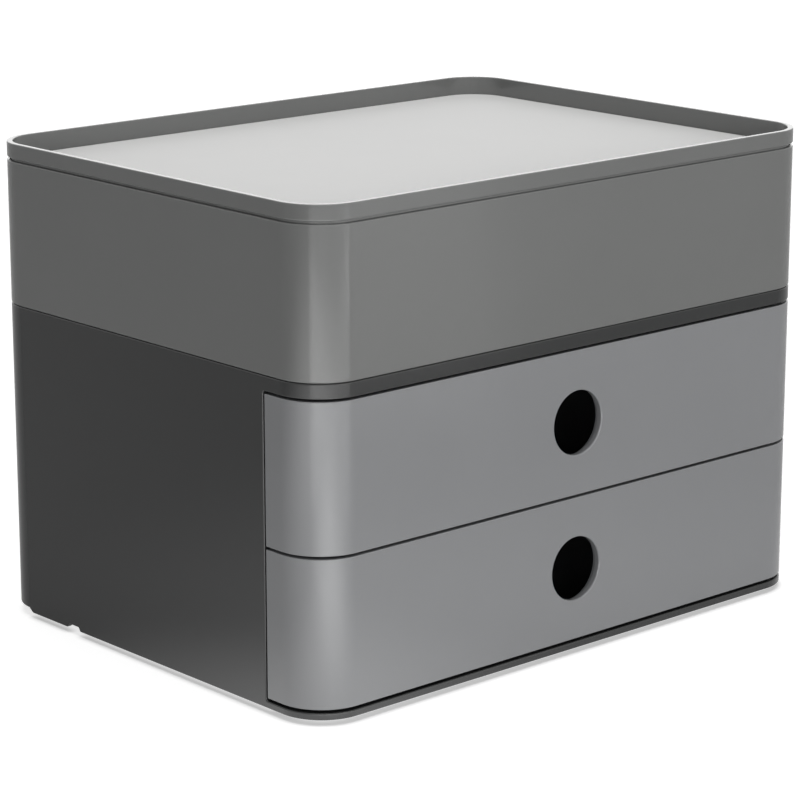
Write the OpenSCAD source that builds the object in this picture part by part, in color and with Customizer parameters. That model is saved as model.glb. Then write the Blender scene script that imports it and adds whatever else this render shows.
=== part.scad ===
// Desk organiser: a housing with two drawers, a utensil box on top and a lid with a soft inlay.
// Millimetres. The drawers open towards -Y and +Z is up.
// The origin is on the desk, below the middle of the footprint.

/* [Footprint] */
// Width across the side walls
body_w = 260; // [220:1:320]
// Depth from the drawer fronts to the back wall
body_d = 195; // [170:1:260]
// Outer radius of the four upright corners
corner_r = 19; // [14:0.5:26]

/* [Housing] */
// Wall thickness of the housing
housing_wall = 2.6; // [2:0.1:4]
// Thickness of the top deck
deck_t = 2.5; // [2:0.1:4]
// Height of the dark band that runs round above the drawers
band_h = 5.65; // [5:0.05:12]
// Height of the dark lip below the lower drawer
lip_h = 2.75; // [2.25:0.25:6]
// Thickness of the base plate and of its front lip
base_t = 2; // [1.5:0.1:3]
// How far the side walls stand back from the drawer fronts
side_setback = 28.4; // [28:0.1:45]
// Radius inside the corners of the side cut-outs
cutout_r = 1; // [0.5:0.1:2]
// Rounding of the housing's outer edges
housing_edge_r = 0.5; // [0.2:0.1:0.7]
// Height of the plateau that centres the utensil box
plateau_h = 1.7; // [1:0.1:1.8]

/* [Skirt] */
// Front end of the notch in each side skirt, behind the middle of the footprint
notch_front = 45; // [30:0.5:47]
// Rear end of the notch in each side skirt, behind the middle of the footprint
notch_rear = 53.9; // [52:0.1:60]
// Height of the notch
notch_h = 1.65; // [1:0.05:1.7]
// Run of the notch's front slope
notch_front_slope = 1; // [0.5:0.1:1.5]
// Run of the notch's rear slope
notch_rear_slope = 2.1; // [0.5:0.1:2.5]
// Where the skirt ends, ahead of the back of the housing
relief_depth = 20.9; // [15:0.1:25]
// Run of the slope at the end of the skirt
relief_slope = 2.5; // [1:0.1:4]

/* [Middle shelf] */
// Thickness of the shelf
shelf_t = 2; // [1.6:0.1:2.2]
// Gap between the shelf and the housing's walls
shelf_gap = 0.3; // [0.2:0.05:0.8]
// Height of the ledges that carry the shelf
ledge_h = 1.45; // [1:0.05:1.6]
// Depth of the ledges that carry the shelf
ledge_depth = 4; // [3:0.5:8]

/* [Drawers] */
// Height of each drawer front
front_h = 56.5; // [50:0.1:90]
// Thickness of the drawer fronts
front_t = 2.5; // [2:0.1:3.5]
// Rounding of the fronts' outer edges
front_edge_r = 0.4; // [0.3:0.1:1]
// Gap between the front lip and the lower drawer front
lower_gap = 1.15; // [1:0.05:2.5]
// Gap between the two drawer fronts
middle_gap = 1; // [0.8:0.05:2.5]
// Gap between the upper drawer front and the band
upper_gap = 0.85; // [0.8:0.05:2.5]
// Upright gap between each front and the side wall behind it
seam_gap = 0.9; // [0.8:0.1:2]
// Wall thickness of the trays
tray_wall = 1.8; // [1.4:0.1:2.5]
// Floor thickness of the trays
tray_floor = 1.8; // [1.4:0.1:3]
// How far the trays' rims stay below the tops of the fronts
tray_rim_drop = 3; // [2.9:0.1:8]
// How far the trays' undersides lie above the lower edges of the fronts
tray_lift = 0.15; // [0:0.05:0.3]
// Gap between each tray and the side walls
tray_side_gap = 1.2; // [0.8:0.1:2.5]
// Gap between each closed tray and the back wall
tray_rear_gap = 0.5; // [0.3:0.1:2]
// Running gap below each tray
glide_gap = 0.3; // [0.2:0.05:0.5]
// How much rounder the trays' corners are than an even gap needs
tray_corner_ease = 0.8; // [0.5:0.1:2]

/* [Finger holes] */
// Diameter of the finger hole in each drawer front
finger_d = 25; // [18:0.5:36]
// Radius of the rounded lip of each finger hole
finger_lip_r = 1.2; // [0.5:0.1:1.8]
// How much wider the hole in the tray behind is, on the radius
finger_step = 1; // [0.5:0.1:3]

/* [Pull-out stops] */
// Distance of the stops from the middle, to each side
stop_x = 80; // [40:1:90]
// Width of the lugs on the trays
lug_w = 14; // [8:1:20]
// Length of the lugs on the trays
lug_l = 8; // [5:0.5:12]
// Height of the lugs above the tray rims
lug_h = 1.5; // [1:0.05:1.5]
// Width of the ribs that the lugs meet
rib_w = 20; // [10:1:30]
// Length of the ribs that the lugs meet
rib_l = 6; // [3:0.5:10]
// Distance of the ribs behind the front edges of the side walls
rib_setback = 1.7; // [0:0.1:5]
// Gap between the ribs and the tray rims
rib_gap = 0.35; // [0.25:0.05:0.5]

/* [Feet] */
// Diameter of the rubber feet
foot_d = 14; // [10:0.5:20]
// How far the feet stand below the skirt
foot_proud = 2; // [1:0.1:4]
// Distance of the feet's centres from the sides
foot_inset_x = 22; // [20:0.5:40]
// Distance of the front feet's centres behind the front edges of the side walls
foot_front_setback = 12; // [12:0.5:30]
// Distance of the rear feet's centres from the back
foot_rear_inset = 30; // [25:0.5:40]
// Gap between each foot and the ring round it
foot_ring_gap = 0.4; // [0.2:0.1:1]
// Wall thickness of the ring round each foot
foot_ring_t = 1.2; // [0.8:0.1:2]
// Height of the ring round each foot
foot_ring_h = 1.4; // [0.8:0.1:1.8]
// Rounding of the feet's lower edges
foot_edge_r = 0.6; // [0.2:0.1:0.8]

/* [Utensil box] */
// Height of the box, from the deck to its rim
box_h = 56.6; // [40:0.1:90]
// Wall thickness of the box
box_wall = 2.6; // [2.2:0.1:4]
// Thickness of the box's floor
box_floor = 2.2; // [1.6:0.1:4]
// Height of the hollow below the floor, which fits over the plateau
box_recess = 2; // [1.9:0.1:5]
// Gap between the plateau and the box around it
plateau_gap = 0.4; // [0.2:0.05:1]
// Thickness of the thin lip at the top of the box
rim_lip_t = 1.1; // [0.9:0.05:1.2]
// Height of that lip above the ledge that carries the lid
rim_lip_h = 3.8; // [2.5:0.1:6]
// Rounding of the box's outer edges
box_edge_r = 0.8; // [0.2:0.1:0.9]

/* [Lid] */
// Shadow gap between the box and the lid's rim
shadow_gap = 0.9; // [0.5:0.05:2]
// Height of the lid's rim
rim_h = 6.1; // [4:0.05:12]
// Thickness of the lid's rim
rim_t = 2.4; // [2.4:0.1:3.5]
// Gap between the lid and the lip around it
lid_gap = 0.3; // [0.2:0.05:0.5]
// Thickness of the lid's floor
lid_floor = 2; // [1.5:0.1:3]
// Rounding of the lid rim's lower outer edge
rim_low_edge_r = 0.8; // [0.2:0.1:1]
// Rounding of the lid rim's upper edges
rim_top_edge_r = 0.4; // [0.2:0.1:0.8]
// Thickness of the inlay
inlay_t = 1.2; // [0.8:0.1:2]
// Gap between the inlay and the lid's rim
inlay_gap = 0.1; // [0.05:0.05:1]

/* [Hidden] */
$fn = 96;
// Straight pieces of each small edge rounding
edge_steps = 5;
// How far cuts run past the surface that they open
past = 1;
// How far plates run into the walls that carry them
merge = 1;

front_y = -body_d / 2;
back_y = body_d / 2;

// Heights above the desk, from the bottom up
skirt_z = foot_proud;
lip_top_z = skirt_z + lip_h;
lower_front_z = lip_top_z + lower_gap;
upper_front_z = lower_front_z + front_h + middle_gap;
band_z = upper_front_z + front_h + upper_gap;
deck_z = band_z + band_h;
ledge_z = deck_z + box_h - rim_lip_h;
box_top_z = deck_z + box_h;
rim_z = box_top_z + shadow_gap;
top_z = rim_z + rim_h;
base_top_z = lower_front_z + tray_lift - glide_gap;
shelf_top_z = upper_front_z + tray_lift - glide_gap;
shelf_z = shelf_top_z - shelf_t;
deck_under_z = deck_z - deck_t;

// Front edges of the side walls, and the rear edges of the drawer fronts ahead of them
side_front_y = front_y + side_setback;
wing_end_y = side_front_y - seam_gap;

// Plan of the trays
tray_w = body_w - 2 * (housing_wall + tray_side_gap);
tray_front_y = front_y + front_t;
tray_back_y = back_y - housing_wall - tray_rear_gap;
tray_r = corner_r - housing_wall - tray_side_gap + tray_corner_ease;

// Pull-out stops
rib_front_y = side_front_y + rib_setback;
rib_back_y = rib_front_y + rib_l;
lug_front_y = tray_back_y - lug_l;
travel = lug_front_y - rib_back_y;
echo(drawer_travel = travel, total_height = top_z);

anthracite = "#4a4b4d";
stone_grey = "#808284";
pale_grey = "#d6d6d4";
rubber_black = "#222222";

// ---------- outlines and sections ----------

// Points of the arc that rounds corner b of the path a, b, c with radius r
function rounded_corner(a, b, c, r) =
    let (
        u = (a - b) / norm(a - b),
        v = (c - b) / norm(c - b),
        half = acos(u * v) / 2,
        reach = r / tan(half),
        centre = b + (u + v) / norm(u + v) * r / sin(half),
        from = b + u * reach - centre,
        to = b + v * reach - centre,
        start = atan2(from.y, from.x),
        turn = atan2(to.y, to.x) - start,
        sweep = turn > 180 ? turn - 360 : turn < -180 ? turn + 360 : turn
    )
    [for (i = [0 : edge_steps])
        centre + r * [cos(start + sweep * i / edge_steps), sin(start + sweep * i / edge_steps)]];

// Outline through corners, given as [[x, y], rounding radius]
function rounded_path(corners) =
    let (n = len(corners))
    [for (i = [0 : n - 1])
        let (b = corners[i][0], r = corners[i][1])
        each r == 0 ? [b] : rounded_corner(corners[(i + n - 1) % n][0], b, corners[(i + 1) % n][0], r)];

// Section of a wall: its outer face on x = 0, its inner face on x = -t
module wall_section(t, z0, z1, low_r, top_r, inner_r = 0) {
    polygon(rounded_path([
        [[0, z0], low_r],
        [[0, z1], top_r],
        [[-t, z1], inner_r],
        [[-t, z0], 0]
    ]));
}

// Rounded rectangle around the origin
module rounded_outline(w, d, r) {
    square([w, d - 2 * r], center = true);
    for (end = [-1, 1])
        translate([0, end * (d / 2 - r / 2)]) square([w - 2 * r, r], center = true);
    for (turn = [0 : 3])
        mirror([turn % 2, 0]) mirror([0, floor(turn / 2)])
            translate([w / 2 - r, d / 2 - r])
                intersection() {
                    circle(r);
                    square(r);
                }
}

// Plate that keeps an even distance from the body's outer outline
module inset_plate(inset, z0, z1) {
    translate([0, 0, z0])
        linear_extrude(z1 - z0)
            rounded_outline(body_w - 2 * inset, body_d - 2 * inset, corner_r - inset);
}

// One upright corner of a section that follows the body's outline
module corner_sweep(side, end) {
    mirror([side < 0 ? 1 : 0, 0, 0])
        mirror([0, end < 0 ? 1 : 0, 0])
            translate([body_w / 2 - corner_r, body_d / 2 - corner_r, 0])
                rotate_extrude(angle = 90)
                    translate([corner_r, 0]) children();
}

// Straight stretch of a section along one side wall, from y0 to y1
module side_sweep(side, y0, y1) {
    mirror([side < 0 ? 1 : 0, 0, 0])
        translate([body_w / 2, y1, 0])
            rotate([90, 0, 0])
                linear_extrude(y1 - y0) children();
}

// Straight stretch of a section along the front or the back
module end_sweep(end) {
    span = body_w - 2 * corner_r;
    mirror([0, end < 0 ? 1 : 0, 0])
        translate([-span / 2, body_d / 2, 0])
            rotate([90, 0, 90])
                linear_extrude(span) children();
}

// Section carried all the way round the body's outline
module ring_sweep() {
    for (side = [-1, 1]) {
        side_sweep(side, front_y + corner_r, back_y - corner_r) children();
        for (end = [-1, 1]) corner_sweep(side, end) children();
    }
    for (end = [-1, 1]) end_sweep(end) children();
}

// ---------- housing ----------

// Cut-out that lets a drawer front wrap round the corner, through both sides
module front_cutout() {
    translate([-body_w / 2 - past, 0, 0])
        rotate([90, 0, 90])
            linear_extrude(body_w + 2 * past)
                polygon(rounded_path([
                    [[front_y - past, lip_top_z], 0],
                    [[side_front_y, lip_top_z], cutout_r],
                    [[side_front_y, band_z], cutout_r],
                    [[front_y - past, band_z], 0]
                ]));
}

// Notches in the side skirts, and the relief below the back of the housing
module skirt_cuts() {
    translate([-body_w / 2 - past, 0, 0])
        rotate([90, 0, 90])
            linear_extrude(body_w + 2 * past) {
                polygon([
                    [notch_front, skirt_z - past],
                    [notch_front, skirt_z],
                    [notch_front + notch_front_slope, skirt_z + notch_h],
                    [notch_rear - notch_rear_slope, skirt_z + notch_h],
                    [notch_rear, skirt_z],
                    [notch_rear, skirt_z - past]
                ]);
                polygon([
                    [back_y - relief_depth, skirt_z - past],
                    [back_y - relief_depth, skirt_z],
                    [back_y - relief_depth + relief_slope, base_top_z - base_t],
                    [back_y + past, base_top_z - base_t],
                    [back_y + past, skirt_z - past]
                ]);
            }
}

// Ribs below a deck or shelf that the lugs of an opened drawer meet
module stop_ribs(rim_z, under_z) {
    for (side = [-1, 1])
        translate([side * stop_x - rib_w / 2, rib_front_y, rim_z + rib_gap])
            cube([rib_w, rib_l, under_z - rim_z - rib_gap]);
}

// Ledge along one side wall that carries the middle shelf
module shelf_ledge(side) {
    x0 = body_w / 2 - housing_wall - ledge_depth;
    length = back_y - corner_r - side_front_y;
    mirror([side < 0 ? 1 : 0, 0, 0])
        translate([x0, side_front_y, shelf_z - ledge_h])
            cube([ledge_depth + merge, length, ledge_h]);
}

// Places something at a foot: side is left or right, end is front or rear
module at_foot(side, end) {
    y = end < 0 ? side_front_y + foot_front_setback : back_y - foot_rear_inset;
    translate([side * (body_w / 2 - foot_inset_x), y, 0]) children();
}

module housing_shell() {
    base_z = base_top_z - base_t;
    color(anthracite) {
        difference() {
            union() {
                ring_sweep() wall_section(housing_wall, skirt_z, deck_z, housing_edge_r, housing_edge_r);
                inset_plate(housing_wall - merge, deck_under_z, deck_z);
                inset_plate(box_wall + plateau_gap, deck_z - merge, deck_z + plateau_h);
                intersection() {
                    inset_plate(housing_wall - merge, lip_top_z - base_t, lip_top_z);
                    translate([-body_w / 2, front_y, 0])
                        cube([body_w, side_setback + housing_wall, lip_top_z]);
                }
                intersection() {
                    inset_plate(housing_wall - merge, base_z, base_top_z);
                    translate([-body_w / 2, side_front_y, base_z])
                        cube([body_w, body_d, base_t]);
                }
            }
            front_cutout();
            skirt_cuts();
        }
        stop_ribs(upper_front_z + front_h - tray_rim_drop, deck_under_z);
        for (side = [-1, 1]) shelf_ledge(side);
        for (side = [-1, 1], end = [-1, 1])
            at_foot(side, end)
                translate([0, 0, base_z - foot_ring_h])
                    difference() {
                        cylinder(h = foot_ring_h, d = foot_d + 2 * (foot_ring_gap + foot_ring_t));
                        translate([0, 0, -past])
                            cylinder(h = foot_ring_h + past, d = foot_d + 2 * foot_ring_gap);
                    }
    }
}

module middle_shelf() {
    color(anthracite) {
        intersection() {
            inset_plate(housing_wall + shelf_gap, shelf_z, shelf_top_z);
            translate([-body_w / 2, side_front_y, shelf_z])
                cube([body_w, body_d, shelf_t]);
        }
        stop_ribs(lower_front_z + front_h - tray_rim_drop, shelf_z);
    }
}

module foot(side, end) {
    color(rubber_black)
        at_foot(side, end)
            rotate_extrude()
                polygon(rounded_path([
                    [[0, 0], 0],
                    [[foot_d / 2, 0], foot_edge_r],
                    [[foot_d / 2, base_top_z - base_t], 0],
                    [[0, base_top_z - base_t], 0]
                ]));
}

// ---------- drawers ----------

// Finger hole with a rounded outer lip, cut from the front face inwards
module finger_cut(z) {
    r = finger_d / 2;
    translate([0, front_y, z])
        rotate([-90, 0, 0])
            rotate_extrude()
                polygon(concat(
                    [[0, -past], [r + finger_lip_r, -past]],
                    [for (i = [0 : edge_steps])
                        let (a = 90 * i / edge_steps)
                        [r + finger_lip_r * (1 - sin(a)), finger_lip_r * (1 - cos(a))]],
                    [[r, front_t + past], [0, front_t + past]]
                ));
}

// Front that wraps round both corners; z0 is its lower edge
module drawer_front(z0) {
    color(stone_grey)
        difference() {
            union() {
                end_sweep(-1)
                    wall_section(front_t, z0, z0 + front_h, front_edge_r, front_edge_r);
                for (side = [-1, 1]) {
                    corner_sweep(side, -1)
                        wall_section(front_t, z0, z0 + front_h, front_edge_r, front_edge_r);
                    side_sweep(side, front_y + corner_r, wing_end_y)
                        wall_section(front_t, z0, z0 + front_h, front_edge_r, front_edge_r);
                }
            }
            finger_cut(z0 + front_h / 2);
        }
}

// Plan of a tray, drawn in by inset
module tray_outline(inset) {
    translate([0, (tray_front_y + tray_back_y) / 2])
        rounded_outline(tray_w - 2 * inset, tray_back_y - tray_front_y - 2 * inset, tray_r - inset);
}

// Tub behind a drawer front; z0 is the lower edge of that front
module drawer_tray(z0) {
    bottom = z0 + tray_lift;
    rim = z0 + front_h - tray_rim_drop;
    color(stone_grey) {
        difference() {
            translate([0, 0, bottom])
                linear_extrude(rim - bottom) tray_outline(0);
            translate([0, 0, bottom + tray_floor])
                linear_extrude(rim - bottom) tray_outline(tray_wall);
            translate([0, tray_front_y - past, z0 + front_h / 2])
                rotate([-90, 0, 0])
                    cylinder(h = tray_wall + 2 * past, r = finger_d / 2 + finger_step);
        }
        for (side = [-1, 1])
            translate([side * stop_x - lug_w / 2, lug_front_y, rim])
                cube([lug_w, lug_l, lug_h]);
        for (side = [-1, 1])
            translate([side * stop_x - lug_w / 2, lug_front_y, rim - lug_l])
                rotate([90, 0, 90])
                    linear_extrude(lug_w)
                        polygon([[lug_l - tray_wall, 0], [lug_l, 0], [lug_l, lug_l], [0, lug_l]]);
    }
}

// ---------- utensil box and lid ----------

module utensil_box() {
    floor_z = deck_z + box_recess;
    color(stone_grey) {
        ring_sweep()
            polygon(rounded_path([
                [[0, deck_z], box_edge_r],
                [[0, box_top_z], box_edge_r],
                [[-rim_lip_t, box_top_z], 0],
                [[-rim_lip_t, ledge_z], 0],
                [[-box_wall, ledge_z], 0],
                [[-box_wall, deck_z], 0]
            ]));
        inset_plate(box_wall - merge, floor_z, floor_z + box_floor);
    }
}

module lid_tray() {
    skirt_inset = rim_lip_t + lid_gap;
    floor_top = ledge_z + lid_floor;
    color(stone_grey) {
        ring_sweep()
            polygon(rounded_path([
                [[0, rim_z], rim_low_edge_r],
                [[0, top_z], rim_top_edge_r],
                [[-rim_t, top_z], rim_top_edge_r],
                [[-rim_t, floor_top], 0],
                [[-rim_t - merge, floor_top], 0],
                [[-rim_t - merge, ledge_z], 0],
                [[-skirt_inset, ledge_z], 0],
                [[-skirt_inset, rim_z], 0]
            ]));
        inset_plate(rim_t, ledge_z, floor_top);
    }
}

module lid_inlay() {
    inlay_z = ledge_z + lid_floor;
    color(pale_grey) inset_plate(rim_t + inlay_gap, inlay_z, inlay_z + inlay_t);
}

housing_shell();
middle_shelf();
foot(-1, -1);  // foot_front_left
foot(1, -1);  // foot_front_right
foot(-1, 1);  // foot_rear_left
foot(1, 1);  // foot_rear_right
drawer_tray(lower_front_z);  // lower_drawer_tray
drawer_front(lower_front_z);  // lower_drawer_front
drawer_tray(upper_front_z);  // upper_drawer_tray
drawer_front(upper_front_z);  // upper_drawer_front
utensil_box();
lid_tray();
lid_inlay();
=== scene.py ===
"""Looks of a desk organiser: a dark housing with two drawers, a utensil box and an inlaid lid.

Everything is in metres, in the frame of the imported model: the drawers open towards -Y and +Z is up.
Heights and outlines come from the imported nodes, and each class adds the sizes of its own mouldings.
"""
import logging
import math
from collections.abc import Callable, Iterable, Sequence
from dataclasses import dataclass
from enum import Enum

import bmesh
import bpy
from bpy.types import Material, Mesh, Node, NodeSocket, NodeTree, Object, bpy_prop_collection
from mathutils import Matrix, Vector


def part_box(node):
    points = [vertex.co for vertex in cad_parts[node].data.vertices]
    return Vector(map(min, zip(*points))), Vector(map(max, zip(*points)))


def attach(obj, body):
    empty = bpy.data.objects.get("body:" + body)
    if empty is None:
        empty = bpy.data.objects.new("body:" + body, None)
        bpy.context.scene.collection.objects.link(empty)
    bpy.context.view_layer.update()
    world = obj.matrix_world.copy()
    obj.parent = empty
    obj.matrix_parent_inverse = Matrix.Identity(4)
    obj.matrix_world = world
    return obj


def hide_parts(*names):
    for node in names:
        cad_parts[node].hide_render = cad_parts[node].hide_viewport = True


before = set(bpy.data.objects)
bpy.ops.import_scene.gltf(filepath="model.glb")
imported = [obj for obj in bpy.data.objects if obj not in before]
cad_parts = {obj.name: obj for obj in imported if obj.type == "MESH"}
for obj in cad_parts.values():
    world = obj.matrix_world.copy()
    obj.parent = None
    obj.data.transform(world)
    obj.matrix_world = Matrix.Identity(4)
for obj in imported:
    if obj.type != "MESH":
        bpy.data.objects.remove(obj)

LOG = logging.getLogger("desk_organiser")
MM = 0.001
FOOT_NODES = ("foot_front_left", "foot_front_right", "foot_rear_left", "foot_rear_right")
CORNER_STEPS = 28
EDGE_STEPS = 5
HOLE_STEPS = 96
FOOT_STEPS = 64
MERGE_DISTANCE = 0.002 * MM
SHARP_ANGLE = math.radians(40)
FINE_SEGMENTS = 3
WIDE_SEGMENTS = 4
LARGE_FACE_WEIGHT = 90


# ---------- small tools ----------


def linear_colour(hex_code: str) -> tuple[float, float, float, float]:
    """Turns an sRGB colour into the linear one that shaders take.

    Args:
        hex_code: The colour as six hex digits after a hash sign.

    Returns:
        Linear red, green and blue, and an alpha of 1.
    """
    parts = [int(hex_code[i:i + 2], 16) / 255 for i in (1, 3, 5)]
    linear = [p / 12.92 if p <= 0.04045 else ((p + 0.055) / 1.055) ** 2.4 for p in parts]
    return (linear[0], linear[1], linear[2], 1.0)


def add_node(tree: NodeTree, kind: str, inputs: dict | None = None, **settings: object) -> Node:
    """Adds a node with its settings, values and links.

    Args:
        tree: The node tree that gets the node.
        kind: The node's type, as Blender names it.
        inputs: Socket name or number, with the value it holds or the output that feeds it.
        **settings: The node's own properties.

    Returns:
        The new node.
    """
    node = tree.nodes.new(kind)
    for name, value in settings.items():
        setattr(node, name, value)
    for socket, value in (inputs or {}).items():
        if isinstance(value, NodeSocket):
            tree.links.new(value, node.inputs[socket])
        else:
            node.inputs[socket].default_value = value
    return node


def rounded(
    corners: Sequence[tuple[float, float, float]], closed: bool
) -> list[tuple[float, float]]:
    """Rounds the corners of a path in a plane.

    Args:
        corners: Each corner's two coordinates and its rounding radius.
        closed: Whether the last corner joins the first.

    Returns:
        The path's points, with an arc at each rounded corner.
    """
    points: list[tuple[float, float]] = []
    count = len(corners)
    for i, (x, y, radius) in enumerate(corners):
        at_end = not closed and i in (0, count - 1)
        if radius == 0 or at_end:
            points.append((x, y))
            continue
        here = Vector((x, y))
        before = (Vector(corners[i - 1][:2]) - here).normalized()
        after = (Vector(corners[(i + 1) % count][:2]) - here).normalized()
        half = before.angle(after) / 2
        centre = here + (before + after).normalized() * radius / math.sin(half)
        start = here + before * radius / math.tan(half) - centre
        turn = start.angle_signed(here + after * radius / math.tan(half) - centre)
        for step in range(EDGE_STEPS + 1):
            spoke = start.copy()
            spoke.rotate(Matrix.Rotation(-turn * step / EDGE_STEPS, 2))
            points.append(tuple(centre + spoke))
    return points


def new_object(name: str, mesh: Mesh) -> Object:
    """Puts a mesh into the scene as an object at the origin.

    Args:
        name: The object's name.
        mesh: Its mesh.

    Returns:
        The new object.
    """
    obj = bpy.data.objects.new(name, mesh)
    bpy.context.scene.collection.objects.link(obj)
    return obj


def mesh_of(name: str, bm: bmesh.types.BMesh) -> Mesh:
    """Turns a bmesh into a mesh and frees it.

    Args:
        name: The mesh's name.
        bm: The bmesh, which can't be used afterwards.

    Returns:
        The new mesh.
    """
    mesh = bpy.data.meshes.new(name)
    bm.to_mesh(mesh)
    bm.free()
    return mesh


def face_outwards(bm: bmesh.types.BMesh) -> None:
    """Turns the faces of a closed mesh outwards.

    Args:
        bm: The mesh that is changed.
    """
    bmesh.ops.recalc_face_normals(bm, faces=bm.faces)
    if bm.calc_volume(signed=True) < 0:
        bmesh.ops.reverse_faces(bm, faces=bm.faces)


def settle_modifiers(obj: Object) -> None:
    """Replaces an object's mesh by its evaluated one and removes its modifiers.

    Args:
        obj: The object that is changed.
    """
    bpy.context.view_layer.update()
    evaluated = obj.evaluated_get(bpy.context.evaluated_depsgraph_get())
    mesh = bpy.data.meshes.new_from_object(evaluated)
    obj.modifiers.clear()
    old = obj.data
    obj.data = mesh
    bpy.data.meshes.remove(old)


class Axis(Enum):
    """Row axis along which a shape stands, as the two directions across it and its own."""

    X = (Vector((0, 1, 0)), Vector((0, 0, 1)), Vector((1, 0, 0)))
    Y = (Vector((1, 0, 0)), Vector((0, 0, 1)), Vector((0, 1, 0)))
    Z = (Vector((1, 0, 0)), Vector((0, 1, 0)), Vector((0, 0, 1)))


def prism(
    name: str, path: Sequence[tuple[float, float]], axis: Axis, low: float, high: float
) -> Object:
    """Makes a straight prism.

    Args:
        name: The object's name.
        path: The outline, in the two row axes across the prism.
        axis: The axis along which it stands.
        low: Where it starts on that axis.
        high: Where it ends on that axis.

    Returns:
        The prism as a closed mesh.
    """
    across, up, along = axis.value
    bm = bmesh.new()
    rings = [
        [bm.verts.new(across * a + up * b + along * end) for a, b in path] for end in (low, high)
    ]
    for i in range(len(path)):
        j = (i + 1) % len(path)
        bm.faces.new((rings[0][i], rings[0][j], rings[1][j], rings[1][i]))
    bm.faces.new(rings[0])
    bm.faces.new(rings[1])
    face_outwards(bm)
    return new_object(name, mesh_of(name, bm))


def plan(left: float, right: float, front: float, rear: float) -> list[tuple[float, float]]:
    """Gives the corners of a rectangle seen from above."""
    return [(left, front), (right, front), (right, rear), (left, rear)]


def quarter(width: float, steps: int) -> list[tuple[float, float]]:
    """Gives a quarter round as distances inside its two sides, from the one side to the other."""
    turns = [math.pi / 2 * step / steps for step in range(steps + 1)]
    return [(width * (1 - math.sin(turn)), width * (1 - math.cos(turn))) for turn in turns]


def turned(
    name: str, profile: Sequence[tuple[float, float]], axis: Axis, centre: Vector, steps: int
) -> Object:
    """Makes a shape of revolution whose profile starts and ends on its axis.

    Args:
        name: The object's name.
        profile: Radius and distance along the axis of each point.
        axis: The axis that it turns about.
        centre: The point from which distances along the axis count.
        steps: The number of facets round it.

    Returns:
        The turned shape as a closed mesh.
    """
    across, up, along = axis.value
    bm = bmesh.new()
    rings = []
    for radius, distance in profile:
        middle = centre + along * distance
        if radius == 0:
            rings.append([bm.verts.new(middle)])
            continue
        angles = [math.tau * i / steps for i in range(steps)]
        rings.append(
            [bm.verts.new(middle + (across * math.cos(a) + up * math.sin(a)) * radius)
             for a in angles]
        )
    for ring, following in zip(rings, rings[1:]):
        for i in range(steps):
            j = (i + 1) % steps
            corners = [ring[i % len(ring)], ring[j % len(ring)],
                       following[j % len(following)], following[i % len(following)]]
            bm.faces.new(list(dict.fromkeys(corners)))
    face_outwards(bm)
    return new_object(name, mesh_of(name, bm))


def combine(obj: Object, tools: Iterable[Object], operation: str) -> Object:
    """Cuts tools out of an object, or joins them to it, and removes the tools.

    Args:
        obj: The object that is changed.
        tools: Closed meshes.
        operation: DIFFERENCE or UNION.

    Returns:
        The same object, with its new mesh.
    """
    tools = list(tools)
    for tool in tools:
        modifier = obj.modifiers.new(operation, "BOOLEAN")
        modifier.operation = operation
        modifier.solver = "EXACT"
        modifier.object = tool
    settle_modifiers(obj)
    for tool in tools:
        bpy.data.objects.remove(tool)
    return obj


def soften(
    obj: Object,
    width: float,
    wide: float = 0.0,
    is_wide: Callable[[Vector], bool] | None = None,
) -> Object:
    """Rounds the edges that are still sharp and shades the mesh smoothly, as a moulding's are.

    Args:
        obj: The object that is changed.
        width: The rounding's width.
        wide: The width on the edges that are rounded more.
        is_wide: Tells from a point whether an edge that ends there is one of those.

    Returns:
        The same object, with its new mesh.
    """
    bm = bmesh.new()
    bm.from_mesh(obj.data)
    bmesh.ops.remove_doubles(bm, verts=bm.verts, dist=MERGE_DISTANCE)
    bmesh.ops.dissolve_degenerate(bm, edges=bm.edges, dist=MERGE_DISTANCE)
    weights = bm.edges.layers.float.new("bevel_weight_edge")
    for edge in bm.edges:
        if edge.calc_face_angle(0.0) > SHARP_ANGLE:
            broad = is_wide is not None and all(is_wide(vert.co) for vert in edge.verts)
            edge[weights] = 1.0 if broad or not wide else width / wide
    bm.to_mesh(obj.data)
    bm.free()
    obj.data.shade_smooth()
    bevel = obj.modifiers.new("edge", "BEVEL")
    bevel.limit_method = "WEIGHT"
    bevel.width = wide or width
    bevel.segments = WIDE_SEGMENTS if wide else FINE_SEGMENTS
    bevel.use_clamp_overlap = False
    bevel.miter_outer = "MITER_ARC"
    normals = obj.modifiers.new("normals", "WEIGHTED_NORMAL")
    normals.weight = LARGE_FACE_WEIGHT
    normals.keep_sharp = False
    settle_modifiers(obj)
    return obj


# ---------- outlines and sweeps ----------


@dataclass(frozen=True)
class Outline:
    """Rounded rectangle seen from above, centred on X."""

    width: float
    front: float
    rear: float
    radius: float

    @classmethod
    def of_node(cls, node: str, radius: float) -> "Outline":
        """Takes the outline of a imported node's box, with the given corner radius."""
        low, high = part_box(node)
        return cls(high.x - low.x, low.y, high.y, radius)


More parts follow.
